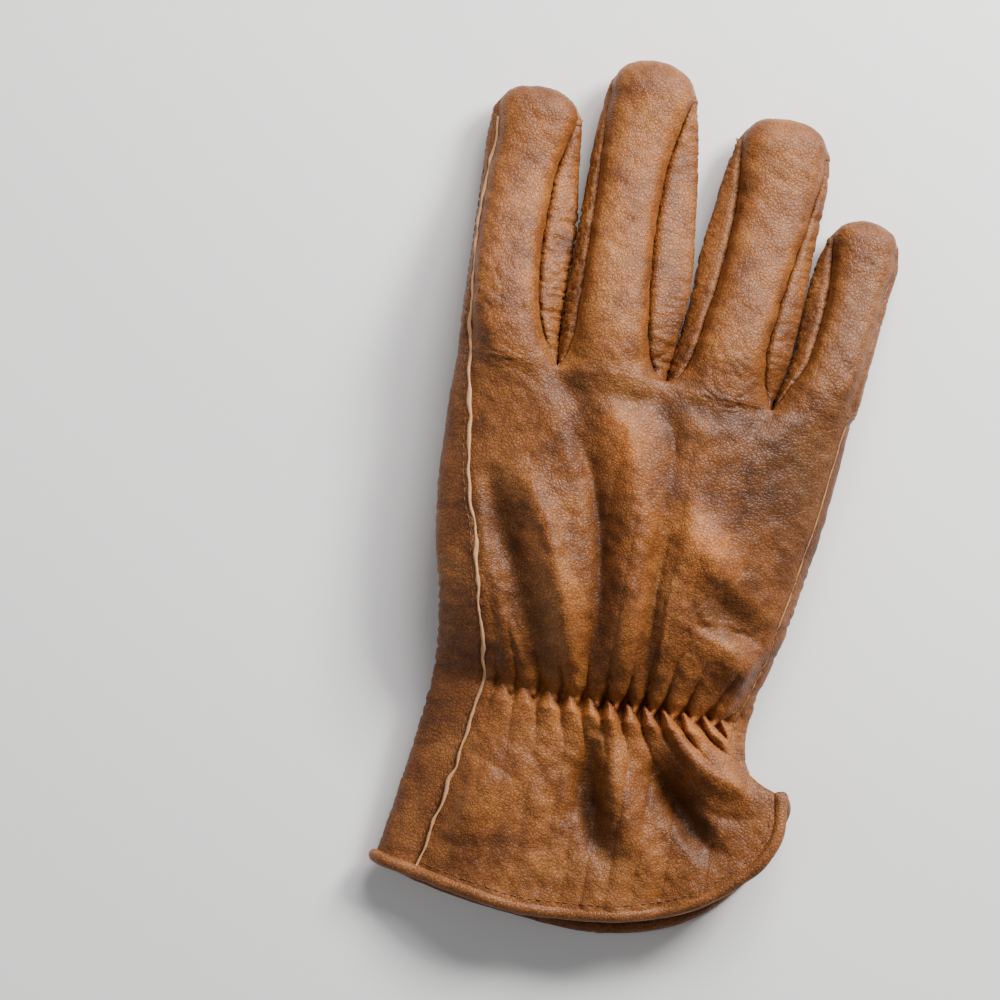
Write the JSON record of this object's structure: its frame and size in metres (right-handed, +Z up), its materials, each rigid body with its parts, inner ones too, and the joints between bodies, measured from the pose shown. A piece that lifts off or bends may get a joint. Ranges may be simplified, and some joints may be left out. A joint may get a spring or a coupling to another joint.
{
  "type": "leather work glove",
  "caption": "Right-hand leather work glove lying on its palm, hollow, with gathered wrist, bound cuff and folded thumb.",
  "frame": {"origin": "on the ground, on the flat underside of the thumb where the glove rests", "axes": "+Y along the hand to the fingertips, +X to the little finger, +Z up out of the back of the hand"},
  "size_m": [0.1264, 0.2585, 0.0359],
  "materials": {
    "back_leather": "satin tan grain leather",
    "palm_leather": "satin tan grain leather",
    "fourchette_leather": "satin tan grain leather",
    "thumb_leather": "satin tan grain leather",
    "binding_leather": "satin tan grain leather",
    "raw_edge_leather": "satin tan grain leather"
  },
  "bodies": {
    "root": {"back_panel": "back_leather", "palm_panel": "palm_leather", "middle_front": "palm_leather", "ring_front": "palm_leather", "fourchette_index_middle": "fourchette_leather", "fourchette_middle_ring": "fourchette_leather", "fourchette_ring_little": "fourchette_leather", "thumb_outer": "thumb_leather", "thumb_inner": "thumb_leather", "cuff_binding": "binding_leather", "thumb_side_welt": "raw_edge_leather", "finger_base_welt": "palm_leather"}
  },
  "joints": []
}
